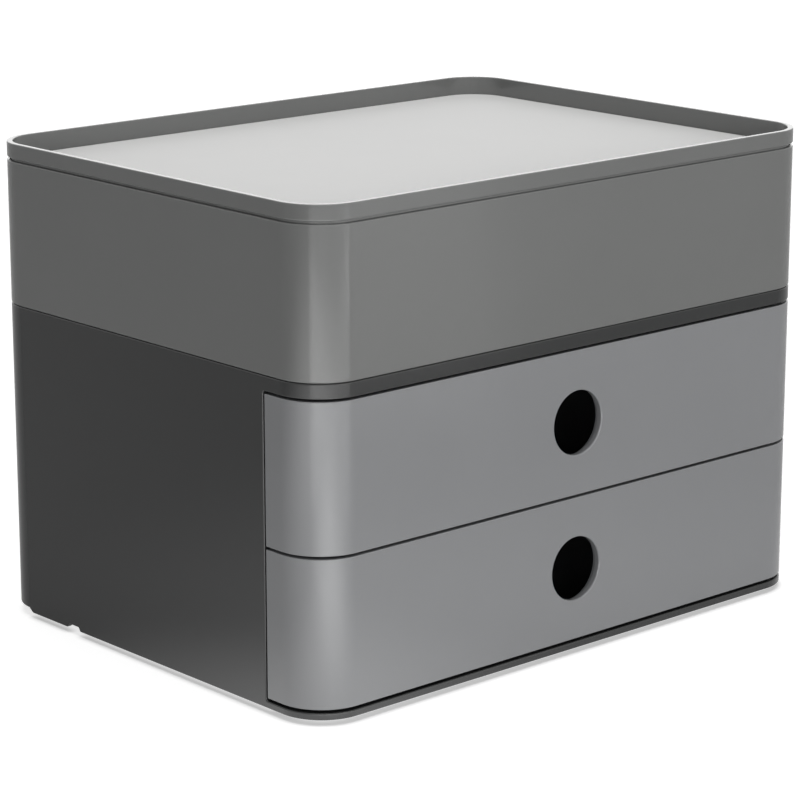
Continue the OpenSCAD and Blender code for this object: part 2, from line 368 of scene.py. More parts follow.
def sweep_tree() -> NodeTree:
    """Builds the tree that carries a section round a rounded outline, or round its front half.

    Returns:
        The node tree. Its geometry is the section, with X outwards from the outline and Y down.
    """
    name = "sweep_round_outline"
    if name in bpy.data.node_groups:
        return bpy.data.node_groups[name]
    tree = bpy.data.node_groups.new(name, "GeometryNodeTree")
    sockets = (
        ("Section", "NodeSocketGeometry"), ("Width", "NodeSocketFloat"),
        ("Front", "NodeSocketFloat"), ("Rear", "NodeSocketFloat"),
        ("Corner Radius", "NodeSocketFloat"), ("Corner Steps", "NodeSocketInt"),
        ("All Round", "NodeSocketBool"), ("Finish", "NodeSocketMaterial"),
    )
    for label, kind in sockets:
        tree.interface.new_socket(label, in_out="INPUT", socket_type=kind)
    tree.interface.new_socket("Moulding", in_out="OUTPUT", socket_type="NodeSocketGeometry")
    given = add_node(tree, "NodeGroupInput").outputs
    # The points 0 to 3 of a line become the left rear, left front, right front and right rear.
    index = add_node(tree, "GeometryNodeInputIndex").outputs["Index"]
    half = add_node(tree, "ShaderNodeMath", {0: given["Width"], 1: 0.5}, operation="MULTIPLY")
    other_half = add_node(tree, "ShaderNodeMath", {0: half.outputs[0], 1: -1.0},
                          operation="MULTIPLY")
    on_right = add_node(tree, "ShaderNodeMath", {0: index, 1: 1.5}, operation="GREATER_THAN")
    from_middle = add_node(tree, "ShaderNodeMath", {0: index, 1: 1.5}, operation="SUBTRACT")
    far = add_node(tree, "ShaderNodeMath", {0: from_middle.outputs[0]}, operation="ABSOLUTE")
    at_rear = add_node(tree, "ShaderNodeMath", {0: far.outputs[0], 1: 1.0},
                       operation="GREATER_THAN")
    x = add_node(tree, "GeometryNodeSwitch",
                 {"Switch": on_right.outputs[0], "False": other_half.outputs[0],
                  "True": half.outputs[0]}, input_type="FLOAT")
    y = add_node(tree, "GeometryNodeSwitch",
                 {"Switch": at_rear.outputs[0], "False": given["Front"], "True": given["Rear"]},
                 input_type="FLOAT")
    place = add_node(tree, "ShaderNodeCombineXYZ", {"X": x.outputs[0], "Y": y.outputs[0]})
    line = add_node(tree, "GeometryNodeMeshLine", {"Count": 4})
    corners = add_node(tree, "GeometryNodeSetPosition",
                       {"Geometry": line.outputs[0], "Position": place.outputs[0]})
    path = add_node(tree, "GeometryNodeMeshToCurve", {"Mesh": corners.outputs[0]})
    ring = add_node(tree, "GeometryNodeSetSplineCyclic",
                    {"Geometry": path.outputs[0], "Cyclic": given["All Round"]})
    fillet = add_node(tree, "GeometryNodeFilletCurve",
                      {"Curve": ring.outputs[0], "Count": given["Corner Steps"],
                       "Radius": given["Corner Radius"]}, mode="POLY")
    level = add_node(tree, "GeometryNodeSetCurveNormal", {"Curve": fillet.outputs[0]},
                     mode="Z_UP")
    section = add_node(tree, "GeometryNodeMeshToCurve", {"Mesh": given["Section"]})
    swept = add_node(tree, "GeometryNodeCurveToMesh",
                     {"Curve": level.outputs[0], "Profile Curve": section.outputs[0],
                      "Fill Caps": True})
    real = add_node(tree, "GeometryNodeRealizeInstances", {"Geometry": swept.outputs[0]})
    finished = add_node(tree, "GeometryNodeSetMaterial",
                        {"Geometry": real.outputs[0], "Material": given["Finish"]})
    add_node(tree, "NodeGroupOutput", {"Moulding": finished.outputs[0]})
    return tree


def run_tree(obj: Object, tree: NodeTree, values: dict) -> None:
    """Runs a Geometry Nodes tree on an object and keeps the result as its plain mesh.

    Args:
        obj: The object whose mesh is the tree's geometry.
        tree: The tree.
        values: The tree's inputs by name.
    """
    modifier = obj.modifiers.new("shape", "NODES")
    modifier.node_group = tree
    for item in tree.interface.items_tree:
        if item.item_type == "SOCKET" and item.in_out == "INPUT" and item.name in values:
            modifier[item.identifier] = values[item.name]
    settle_modifiers(obj)


def swept_moulding(
    name: str,
    outline: Outline,
    section: Sequence[tuple[float, float, float]],
    finish: Material,
    all_round: bool = True,
    filled: bool = True,
) -> Object:
    """Sweeps a section round an outline and closes what stays open.

    Args:
        name: The object's name.
        outline: The outer outline.
        section: Each corner's distance inside the outline, its height and its rounding.
        finish: The material.
        all_round: Whether the sweep goes all round, or from a rear end over the front to the other.
        filled: Whether the section is open, with its two ends closed by flat panels.

    Returns:
        The moulding as a closed mesh.
    """
    corners = [(-inset, height, radius) for inset, height, radius in section]
    points = rounded(corners, closed=not filled)
    bm = bmesh.new()
    verts = [bm.verts.new((x, -y, 0)) for x, y in points]
    for first, second in zip(verts, verts[1:]):
        bm.edges.new((first, second))
    if not filled:
        bm.edges.new((verts[-1], verts[0]))
    obj = new_object(name, mesh_of(name, bm))
    run_tree(obj, sweep_tree(), {
        "Width": outline.width, "Front": outline.front, "Rear": outline.rear,
        "Corner Radius": outline.radius, "Corner Steps": CORNER_STEPS,
        "All Round": all_round, "Finish": finish,
    })
    bm = bmesh.new()
    bm.from_mesh(obj.data)
    bmesh.ops.remove_doubles(bm, verts=bm.verts, dist=MERGE_DISTANCE)
    open_edges = [edge for edge in bm.edges if edge.is_boundary]
    bmesh.ops.holes_fill(bm, edges=open_edges, sides=0)
    face_outwards(bm)
    bm.to_mesh(obj.data)
    bm.free()
    return obj


# ---------- finishes ----------


@dataclass(frozen=True)
class MouldedPlastic:
    """Injection-moulded plastic: evenly coloured, with the faint ripple that its mould leaves.

    The haze is a slow change of gloss and tint. Ripple and haze are the widths of their waves.
    """

    name: str
    colour: str
    roughness: float
    ripple: float = 6 * MM
    ripple_depth: float = 0.012 * MM
    haze: float = 40 * MM
    haze_spread: float = 0.05
    tint_spread: float = 0.03
    ior: float = 1.5

    def tinted(self, share: float) -> tuple[float, float, float, float]:
        """Gives the colour at a share of its brightness."""
        red, green, blue, alpha = linear_colour(self.colour)
        return (red * share, green * share, blue * share, alpha)

    def material(self) -> Material:
        """Builds the material, unless an earlier piece has built it.

        Returns:
            The material, the same one for every piece.
        """
        if self.name in bpy.data.materials:
            return bpy.data.materials[self.name]
        material = bpy.data.materials.new(self.name)
        material.use_nodes = True
        tree = material.node_tree
        tree.nodes.clear()
        place = add_node(tree, "ShaderNodeTexCoord").outputs["Object"]
        ripple = add_node(tree, "ShaderNodeTexNoise",
                          {"Vector": place, "Scale": 1 / self.ripple, "Detail": 2.0})
        haze = add_node(tree, "ShaderNodeTexNoise",
                        {"Vector": place, "Scale": 1 / self.haze, "Detail": 4.0})
        roughness = add_node(tree, "ShaderNodeMapRange",
                             {"Value": haze.outputs["Fac"],
                              "To Min": self.roughness - self.haze_spread,
                              "To Max": self.roughness + self.haze_spread})
        tint = add_node(tree, "ShaderNodeMix",
                        {"Factor": haze.outputs["Fac"], "A": self.tinted(1 - self.tint_spread),
                         "B": self.tinted(1 + self.tint_spread)}, data_type="RGBA")
        bump = add_node(tree, "ShaderNodeBump",
                        {"Height": ripple.outputs["Fac"], "Distance": self.ripple_depth,
                         "Strength": 1.0})
        shader = add_node(tree, "ShaderNodeBsdfPrincipled",
                          {"Base Color": tint.outputs["Result"],
                           "Roughness": roughness.outputs["Result"],
                           "Normal": bump.outputs["Normal"], "IOR": self.ior})
        add_node(tree, "ShaderNodeOutputMaterial", {"Surface": shader.outputs[0]})
        return material


# ABS, mould polished to a high gloss: a mid-grey with soft, clear reflections.
GREY_ABS = MouldedPlastic("grey_abs_gloss", "#737473", 0.1, haze_spread=0.02)
# The same ABS, given a lighter colour on the drawers than on the box that stands on them, as the
# drawer fronts show lighter.
DRAWER_ABS = MouldedPlastic("light_grey_abs_gloss", "#898a8c", 0.1, haze_spread=0.02)
# ABS from the same mould finish, coloured anthracite through and through.
ANTHRACITE_ABS = MouldedPlastic("anthracite_abs_gloss", "#2c2d2d", 0.12, haze_spread=0.02, ior=1.46)
# Thermoplastic elastomer, moulded against an eroded mould: pale, dry and evenly matt. Its grain
# of about 0.1 mm is drawn 0.9 mm wide, so that it shows.
PALE_MAT = MouldedPlastic("pale_elastomer_mat", "#e2e2e1", 0.62, 0.9 * MM, 0.02 * MM)
# Moulded rubber: black and matt, with a fine tooth that is drawn coarser too.
BLACK_RUBBER = MouldedPlastic("black_rubber", "#1d1d1e", 0.75, 1.2 * MM, 0.05 * MM)


# ---------- the object ----------


@dataclass
class Housing:
    """Dark moulding that holds the drawers and carries the utensil box.

    The cut-out is the opening in front and sides that the drawer fronts fill, the band is what
    stays above it and the lip what stays below. The plateau centres the utensil box.
    """

    corner_radius: float = 19 * MM
    wall: float = 2.6 * MM
    deck: float = 2.5 * MM
    band: float = 5.65 * MM
    lip: float = 2.75 * MM
    base: float = 2 * MM
    base_top: float = 5.75 * MM
    side_setback: float = 28.4 * MM
    cutout_radius: float = 1 * MM
    cutout_edge: float = 0.55 * MM
    edge: float = 0.5 * MM
    fine_edge: float = 0.4 * MM
    bay_fillet: float = 0.6 * MM
    plateau: float = 1.7 * MM
    plateau_inset: float = 3 * MM
    plateau_fillet: float = 0.2 * MM
    flat_inset: float = 14 * MM
    notch_front: float = 45 * MM
    notch_rear: float = 53.9 * MM
    notch_height: float = 1.65 * MM
    notch_slopes: tuple[float, float] = (1 * MM, 2.1 * MM)
    relief_depth: float = 20.9 * MM
    relief_slope: float = 2.5 * MM
    shelf: float = 2 * MM
    ledge: float = 1.45 * MM
    ledge_depth: float = 4 * MM
    stop_place: float = 80 * MM
    rib_setback: float = 1.7 * MM
    rib_width: float = 20 * MM
    rib_length: float = 6 * MM
    rib_gap: float = 0.35 * MM
    lug_height: float = 1.5 * MM
    foot_gap: float = 0.4 * MM
    foot_ring: float = 1.2 * MM
    foot_ring_height: float = 1.4 * MM

    def build(self) -> Object:
        """Makes the housing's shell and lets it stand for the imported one.

        Returns:
            The shell.
        """
        low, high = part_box("housing_shell")
        outline = Outline.of_node("housing_shell", self.corner_radius)
        finish = ANTHRACITE_ABS.material()
        deck_top = high.z - self.plateau
        band_low = deck_top - self.band
        lip_top = low.z + self.lip
        side_front = low.y + self.side_setback
        deck_low = deck_top - self.deck
        shell = swept_moulding("housing", outline, [
            (self.flat_inset, low.z, 0), (0, low.z, self.edge),
            (0, deck_top, self.edge), (self.plateau_inset, deck_top, self.plateau_fillet),
            (self.plateau_inset, high.z, self.fine_edge), (self.flat_inset, high.z, 0),
        ], finish)
        bays = swept_moulding("bays", outline, [
            (self.flat_inset, self.base_top, 0), (self.wall, self.base_top, self.bay_fillet),
            (self.wall, deck_low, self.bay_fillet), (self.flat_inset, deck_low, 0),
        ], finish)
        under_lip = swept_moulding("under_lip", outline, [
            (self.flat_inset, low.z - self.wall, 0), (self.wall, low.z - self.wall, 0),
            (self.wall, lip_top - self.base, 0), (self.flat_inset, lip_top - self.base, 0),
        ], finish)
        inside = Outline(outline.width - 2 * self.wall, side_front, outline.rear - self.wall,
                         outline.radius - self.wall)
        base_low = self.base_top - self.base
        under_base = prism("under_base", self.square_front(inside), Axis.Z,
                           low.z - self.wall, base_low)
        reach = outline.width
        cutout = prism("cutout", rounded([
            (low.y - self.wall, lip_top, 0), (side_front, lip_top, self.cutout_radius),
            (side_front, band_low, self.cutout_radius), (low.y - self.wall, band_low, 0),
        ], closed=True), Axis.X, -reach, reach)
        combine(shell, [bays, under_lip, under_base, cutout, *self.skirt_cuts(base_low)],
                "DIFFERENCE")
        combine(shell, self.ledges_and_stops(side_front, deck_low), "UNION")
        combine(shell, self.foot_rings(base_low), "UNION")
        soften(shell, self.fine_edge, self.cutout_edge, self.cutout_edge_test())
        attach(shell, "housing")
        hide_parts("housing_shell")
        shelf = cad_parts["middle_shelf"]
        shelf.data.materials.clear()
        shelf.data.materials.append(finish)
        return shell

    @staticmethod
    def square_front(outline: Outline) -> list[tuple[float, float]]:
        """Gives the plan of a rectangle whose two rear corners alone are round.

        Args:
            outline: The rectangle, with the corners' radius.

        Returns:
            The plan's points.
        """
        half = outline.width / 2
        corner = [(half - across, outline.rear - ahead)
                  for ahead, across in quarter(outline.radius, CORNER_STEPS)]
        other = [(-x, y) for x, y in reversed(corner)]
        return [(-half, outline.front), (half, outline.front), *corner, *other]

    def skirt_cuts(self, base_low: float) -> list[Object]:
        """Makes the cutters of the side notches and of the relief below the back.

        Args:
            base_low: The height of the base's underside.

        Returns:
            The two cutters, each as wide as the housing.
        """
        low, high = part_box("housing_shell")
        under = low.z - self.wall
        notch_top = low.z + self.notch_height
        front_slope, rear_slope = self.notch_slopes
        notch = [(self.notch_front, under), (self.notch_front, low.z),
                 (self.notch_front + front_slope, notch_top),
                 (self.notch_rear - rear_slope, notch_top),
                 (self.notch_rear, low.z), (self.notch_rear, under)]
        relief_front = high.y - self.relief_depth
        relief = [(relief_front, under), (relief_front, low.z),
                  (relief_front + self.relief_slope, base_low), (high.y + self.wall, base_low),
                  (high.y + self.wall, under)]
        reach = high.x + self.wall
        return [prism("notch", notch, Axis.X, -reach, reach),
                prism("relief", relief, Axis.X, -reach, reach)]

    def ledges_and_stops(self, side_front: float, deck_low: float) -> list[Object]:
        """Makes the ledges below the shelf and the stop ribs below the deck.

        Args:
            side_front: Where the side walls begin, behind the cut-out.
            deck_low: The height of the deck's underside.

        Returns:
            A ledge and a rib for each side.
        """
        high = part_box("housing_shell")[1]
        shelf_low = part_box("middle_shelf")[1].z - self.shelf
        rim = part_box("upper_drawer_tray")[1].z - self.lug_height
        inner = high.x - self.wall
        ledge_ends = (side_front, high.y - self.corner_radius)
        rib_front = side_front + self.rib_setback
        rib_ends = (rib_front, rib_front + self.rib_length)
        made = []
        for side in (-1, 1):
            near, far = sorted((side * (inner - self.ledge_depth), side * (inner + self.wall / 2)))
            middle = side * self.stop_place
            made.append(prism("ledge", plan(near, far, *ledge_ends), Axis.Z,
                              shelf_low - self.ledge, shelf_low))
            made.append(prism("rib", plan(middle - self.rib_width / 2, middle + self.rib_width / 2,
                                          *rib_ends), Axis.Z,
                              rim + self.rib_gap, deck_low + self.deck / 2))
        return made

    def foot_rings(self, base_low: float) -> list[Object]:
        """Makes the rings below the base that hold the feet.

        Args:
            base_low: The height of the base's underside.

        Returns:
            A ring for each foot.
        """
        rings = []
        for node in FOOT_NODES:
            low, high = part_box(node)
            inner = (high.x - low.x) / 2 + self.foot_gap
            outer = inner + self.foot_ring
            middle = Vector(((low.x + high.x) / 2, (low.y + high.y) / 2, base_low))
            ring = turned("foot_ring", [
                (0, self.base / 2), (outer, self.base / 2), (outer, -self.foot_ring_height),
                (inner, -self.foot_ring_height), (inner, 0), (0, 0),
            ], Axis.Z, middle, FOOT_STEPS)
            rings.append(ring)
        return rings

    def cutout_edge_test(self) -> Callable[[Vector], bool]:
        """Makes the test for the outer edge of the cut-out that the drawers close.

        Returns:
            A function that tells whether a point of a sharp edge lies on that edge.
        """
        low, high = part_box("housing_shell")
        radius = self.corner_radius
        slack = 0.05 * MM
        rear = low.y + self.side_setback + slack
        bottom = low.z + self.lip - slack
        top = high.z - self.plateau - self.band + slack

        def test(point: Vector) -> bool:
            """Tells whether the point is on the outline, beside a drawer front.

            Args:
                point: The point.

            Returns:
                Whether it is there.
            """
            across = max(abs(point.x) - (high.x - radius), 0)
            ahead = max(low.y + radius - point.y, 0)
            return (math.hypot(across, ahead) > radius - slack
                    and point.y < rear and bottom < point.z < top)

        return test


class Level(Enum):
    """The drawer's place in the housing, which its nodes and its body are named after."""

    UPPER = "upper"
    LOWER = "lower"


@dataclass
class Drawer:
    """Glossy front that wraps round both corners, with the tub behind it."""

    level: Level
    corner_radius: float = 19 * MM
    front_thickness: float = 2.5 * MM
    front_edge: float = 0.4 * MM
    finger_radius: float = 12.5 * MM
    finger_lip: float = 0.6 * MM
    finger_lip_steps: int = 8
    finger_step: float = 1 * MM
    tray_radius: float = 16 * MM
    tray_wall: float = 1.8 * MM
    tray_floor: float = 1.8 * MM
    tray_fillet: float = 3 * MM
    tray_bottom_edge: float = 1.5 * MM
    rim_edge: float = 0.5 * MM
    fine_edge: float = 0.25 * MM
    lug_height: float = 1.5 * MM
    lug_length: float = 8 * MM
    lug_width: float = 14 * MM
    lug_place: float = 80 * MM
    lug_inset: float = 0.2 * MM
    flat_inset: float = 12 * MM

    def build(self) -> list[Object]:
        """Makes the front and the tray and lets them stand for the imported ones.

        Returns:
            The front and the tray.
        """
        pieces = [self.front(), self.tray()]
        for piece, part in zip(pieces, ("front", "tray")):
            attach(piece, f"{self.level.value}_drawer")
            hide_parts(f"{self.level.value}_drawer_{part}")
        return pieces

    def front(self) -> Object:
        """Makes the front, with its finger hole.

        Returns:
            The front.
        """
        node = f"{self.level.value}_drawer_front"
        low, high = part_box(node)
        outline = Outline.of_node(node, self.corner_radius)
        edge = self.front_edge
        shell = swept_moulding(f"{self.level.value}_front", outline, [
            (0, low.z, edge), (0, high.z, edge),
            (self.front_thickness, high.z, edge), (self.front_thickness, low.z, edge),
        ], DRAWER_ABS.material(), all_round=False, filled=False)
        lip = self.finger_lip
        profile = [(0, -lip), (self.finger_radius + lip, -lip)]
        profile += [(self.finger_radius + out, depth)
                    for out, depth in quarter(lip, self.finger_lip_steps)]
        profile += [(self.finger_radius, 2 * self.front_thickness), (0, 2 * self.front_thickness)]
        middle = Vector((0, low.y, (low.z + high.z) / 2))
        hole = turned("finger_hole", profile, Axis.Y, middle, HOLE_STEPS)
        combine(shell, [hole], "DIFFERENCE")
        return soften(shell, self.fine_edge)

    def tray(self) -> Object:
        """Makes the tub, with its stop lugs and the hole behind the finger hole.

        Returns:
            The tub.
        """
        node = f"{self.level.value}_drawer_tray"
        low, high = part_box(node)
        rim = high.z - self.lug_height
        outline = Outline.of_node(node, self.tray_radius)
        tub = swept_moulding(f"{self.level.value}_tray", outline, [
            (self.flat_inset, low.z + self.tray_floor, 0),
            (self.tray_wall, low.z + self.tray_floor, self.tray_fillet),
            (self.tray_wall, rim, self.rim_edge), (0, rim, self.rim_edge),
            (0, low.z, self.tray_bottom_edge), (self.flat_inset, low.z, 0),
        ], DRAWER_ABS.material())
        front_low, front_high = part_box(f"{self.level.value}_drawer_front")
        middle = Vector((0, low.y, (front_low.z + front_high.z) / 2))
        radius = self.finger_radius + self.finger_step
        reach = 2 * self.tray_wall
        hole = turned("hole", [(0, -reach), (radius, -reach), (radius, reach), (0, reach)],
                      Axis.Y, middle, HOLE_STEPS)
        combine(tub, [hole], "DIFFERENCE")
        lug_front = high.y - self.lug_length
        lug_rear = high.y - self.lug_inset
        lug = [(lug_front, rim), (high.y - self.tray_wall, rim - self.lug_length),
               (lug_rear, rim - self.lug_length), (lug_rear, high.z), (lug_front, high.z)]
        starts = [side * self.lug_place - self.lug_width / 2 for side in (-1, 1)]
        combine(tub, [prism("lug", lug, Axis.X, start, start + self.lug_width)
                      for start in starts], "UNION")
        return soften(tub, self.fine_edge)


@dataclass
class UtensilBox:
    """Open box that stands on the deck, with a ledge and a thin lip that take the lid."""

    corner_radius: float = 19 * MM
    wall: float = 2.6 * MM
    floor: float = 2.2 * MM
    recess: float = 2 * MM
    lip: float = 1.1 * MM
    lip_height: float = 3.8 * MM
    lip_edge: float = 0.25 * MM
    lip_fillet: float = 0.15 * MM
    ledge_edge: float = 0.3 * MM
    low_edge: float = 0.9 * MM
    low_inner_edge: float = 0.3 * MM
    top_edge: float = 0.5 * MM
    fine_edge: float = 0.2 * MM
    fillet: float = 4 * MM
    recess_fillet: float = 0.4 * MM
    flat_inset: float = 14 * MM

    def build(self) -> Object:
        """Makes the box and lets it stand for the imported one.

        Returns:
            The box.
        """
        low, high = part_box("utensil_box")
        ledge = high.z - self.lip_height
        under = low.z + self.recess
        box = swept_moulding("box", Outline.of_node("utensil_box", self.corner_radius), [
            (self.flat_inset, under + self.floor, 0), (self.wall, under + self.floor, self.fillet),
            (self.wall, ledge, self.ledge_edge), (self.lip, ledge, self.lip_fillet),
            (self.lip, high.z, self.lip_edge), (0, high.z, self.top_edge),
            (0, low.z, self.low_edge), (self.wall, low.z, self.low_inner_edge),
            (self.wall, under, self.recess_fillet), (self.flat_inset, under, 0),
        ], GREY_ABS.material())
        soften(box, self.fine_edge)
        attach(box, "box")
        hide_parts("utensil_box")
        return box


@dataclass
class Lid:
    """Lid with a raised rim, and the soft inlay that lies in its recess."""

    corner_radius: float = 19 * MM
    rim: float = 2.4 * MM
    rim_height: float = 6.1 * MM
    skirt_inset: float = 1.4 * MM
    skirt_edge: float = 0.5 * MM
    skirt_fillet: float = 0.2 * MM
    floor: float = 2 * MM
    floor_fillet: float = 0.3 * MM
    low_edge: float = 0.8 * MM
    top_edge: float = 0.4 * MM
    fine_edge: float = 0.2 * MM
    inlay_edges: tuple[float, float, float] = (0.35 * MM, 0.1 * MM, 0.1 * MM)
    flat_inset: float = 14 * MM

    def build(self) -> list[Object]:
        """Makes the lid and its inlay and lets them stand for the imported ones.

        Returns:
            The lid and the inlay.
        """
        pieces = [self.tray(), self.inlay()]
        for piece, node, slot in zip(
            pieces, ("lid_tray", "lid_inlay"), ("grey_plastic", "pale_inlay")
        ):
            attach(piece, "lid")
            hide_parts(node)
        return pieces

    def tray(self) -> Object:
        """Makes the lid's moulding.

        Returns:
            The lid.
        """
        low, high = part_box("lid_tray")
        rim_low = high.z - self.rim_height
        lid = swept_moulding("lid", Outline.of_node("lid_tray", self.corner_radius), [
            (self.flat_inset, low.z + self.floor, 0),
            (self.rim, low.z + self.floor, self.floor_fillet),
            (self.rim, high.z, self.top_edge), (0, high.z, self.top_edge),
            (0, rim_low, self.low_edge), (self.skirt_inset, rim_low, self.skirt_fillet),
            (self.skirt_inset, low.z, self.skirt_edge), (self.flat_inset, low.z, 0),
        ], GREY_ABS.material())
        return soften(lid, self.fine_edge)

    def inlay(self) -> Object:
        """Makes the pale mat.

        Returns:
            The mat.
        """
        low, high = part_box("lid_inlay")
        radius = self.corner_radius - (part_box("lid_tray")[1].x - high.x)
        top_edge, low_edge, fine_edge = self.inlay_edges
        mat = swept_moulding("inlay", Outline.of_node("lid_inlay", radius), [
            (self.flat_inset, high.z, 0), (0, high.z, top_edge), (0, low.z, low_edge),
            (self.flat_inset, low.z, 0),
        ], PALE_MAT.material())
        return soften(mat, fine_edge)


@dataclass
class Feet:
    """Four moulded rubber feet with fine rings on their soles."""

    edge: float = 0.5 * MM
    groove_depth: float = 0.3 * MM
    ring_pitch: float = 1.5 * MM
    ring_start: float = 0.15
    ring_end: float = 0.55
    groove_start: float = 0.7
    hollow: float = 1.6 * MM

    def build(self) -> Object:
        """Sets a foot at each packed foot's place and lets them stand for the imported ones.

        Returns:
            The four feet as one piece.
        """
        bm = bmesh.new()
        for node in FOOT_NODES:
            low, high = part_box(node)
            bm.verts.new(((low.x + high.x) / 2, (low.y + high.y) / 2, low.z))
        feet = new_object("feet", mesh_of("feet", bm))
        pattern = self.foot()
        run_tree(feet, self.set_out_tree(),
                 {"Foot": pattern, "Finish": BLACK_RUBBER.material()})
        bpy.data.objects.remove(pattern)
        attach(feet, "housing")
        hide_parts(*FOOT_NODES)
        return feet

    def foot(self) -> Object:
        """Makes one foot about the upright axis, standing at height 0.

        Returns:
            The foot, which is only the pattern of the four.
        """
        low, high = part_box(FOOT_NODES[0])
        radius = (high.x - low.x) / 2
        height = high.z - low.z
        pitch = self.ring_pitch
        profile = [(0, self.groove_depth), (self.hollow, self.groove_depth)]
        start = self.hollow
        while start + pitch < radius:
            profile += [(start + self.ring_start * pitch, 0), (start + self.ring_end * pitch, 0)]
            if start + 2 * pitch < radius:
                profile += [(start + self.groove_start * pitch, self.groove_depth),
                            (start + pitch, self.groove_depth)]
            start += pitch
        profile += [(radius - inset, rise) for inset, rise in quarter(self.edge, EDGE_STEPS)]
        profile += [(radius, height), (0, height)]
        return turned("foot", profile, Axis.Z, Vector((0, 0, 0)), FOOT_STEPS)

    @staticmethod
    def set_out_tree() -> NodeTree:
        """Builds the tree that sets a copy of an object on each point.

        Returns:
            The tree, with the inputs Foot and Finish.
        """
        tree = bpy.data.node_groups.new("set_out", "GeometryNodeTree")
        face = tree.interface
        face.new_socket("Places", in_out="INPUT", socket_type="NodeSocketGeometry")
        face.new_socket("Foot", in_out="INPUT", socket_type="NodeSocketObject")
        face.new_socket("Finish", in_out="INPUT", socket_type="NodeSocketMaterial")
        face.new_socket("Feet", in_out="OUTPUT", socket_type="NodeSocketGeometry")
        given = add_node(tree, "NodeGroupInput").outputs
        pattern = add_node(tree, "GeometryNodeObjectInfo", {"Object": given["Foot"]})
        copies = add_node(tree, "GeometryNodeInstanceOnPoints",
                          {"Points": given["Places"], "Instance": pattern.outputs["Geometry"]})
        real = add_node(tree, "GeometryNodeRealizeInstances", {"Geometry": copies.outputs[0]})
        finished = add_node(tree, "GeometryNodeSetMaterial",
                            {"Geometry": real.outputs[0], "Material": given["Finish"]})
        add_node(tree, "NodeGroupOutput", {"Feet": finished.outputs[0]})
        return tree


# ---------- studio ----------


@dataclass(frozen=True)
class SoftBox:
    """Rectangular lamp that shines at the object and stays out of the camera's sight.

    Turn and lift are in degrees, sizes in metres and the power in watts. A turn of 0 is straight
    in front of the drawers, and a positive one is to the right.
    """

    name: str
    turn: float
    lift: float
    distance: float
    width: float
    height: float
    power: float
    target: tuple[float, float, float] = (0.0, 0.0, 100 * MM)

    def build(self) -> None:
        """Adds the lamp to the scene."""
        light = bpy.data.lights.new(self.name, "AREA")
        light.shape = "RECTANGLE"
        light.size = self.width
        light.size_y = self.height
        light.energy = self.power
        lamp = bpy.data.objects.new(self.name, light)
        turn = math.radians(self.turn)
        lift = math.radians(self.lift)
        away = Vector((math.cos(lift) * math.sin(turn), -math.cos(lift) * math.cos(turn),
                       math.sin(lift)))
        lamp.location = Vector(self.target) + self.distance * away
        lamp.rotation_euler = away.to_track_quat("Z", "Y").to_euler()
        lamp.visible_camera = False
        bpy.context.scene.collection.objects.link(lamp)


@dataclass(frozen=True)
class PaintedPool:
    """Oval glow painted into the table, which only a gloss shows and which fades to its rim: a
    painted pool of light, seen on the object as painted reflections.

    Its length points away from the object, at a turn that counts as a soft box's does.
    """

    centre: tuple[float, float, float]
    turn: float
    width: float
    length: float
    strength: float

    def add(self, tree: NodeTree, others: NodeSocket | float) -> NodeSocket:
        """Adds the pool's painted glow to that of other pools.

        Args:
            tree: The table's node tree.
            others: The strength of the other pools.

        Returns:
            The output that holds the strength of them all.
        """
        place = add_node(tree, "ShaderNodeTexCoord").outputs["Object"]
        oval = add_node(tree, "ShaderNodeMapping",
                        {"Vector": place, "Location": self.centre,
                         "Rotation": (0, 0, math.radians(self.turn)),
                         "Scale": (self.width / 2, self.length / 2, 1)}, vector_type="TEXTURE")
        far = add_node(tree, "ShaderNodeVectorMath", {0: oval.outputs[0]}, operation="LENGTH")
        near = add_node(tree, "ShaderNodeMapRange",
                        {"Value": far.outputs["Value"], "To Min": 1.0, "To Max": 0.0},
                        interpolation_type="SMOOTHSTEP")
        total = add_node(tree, "ShaderNodeMath",
                         {0: near.outputs["Result"], 1: self.strength, 2: others},
                         operation="MULTIPLY_ADD")
        return total.outputs[0]


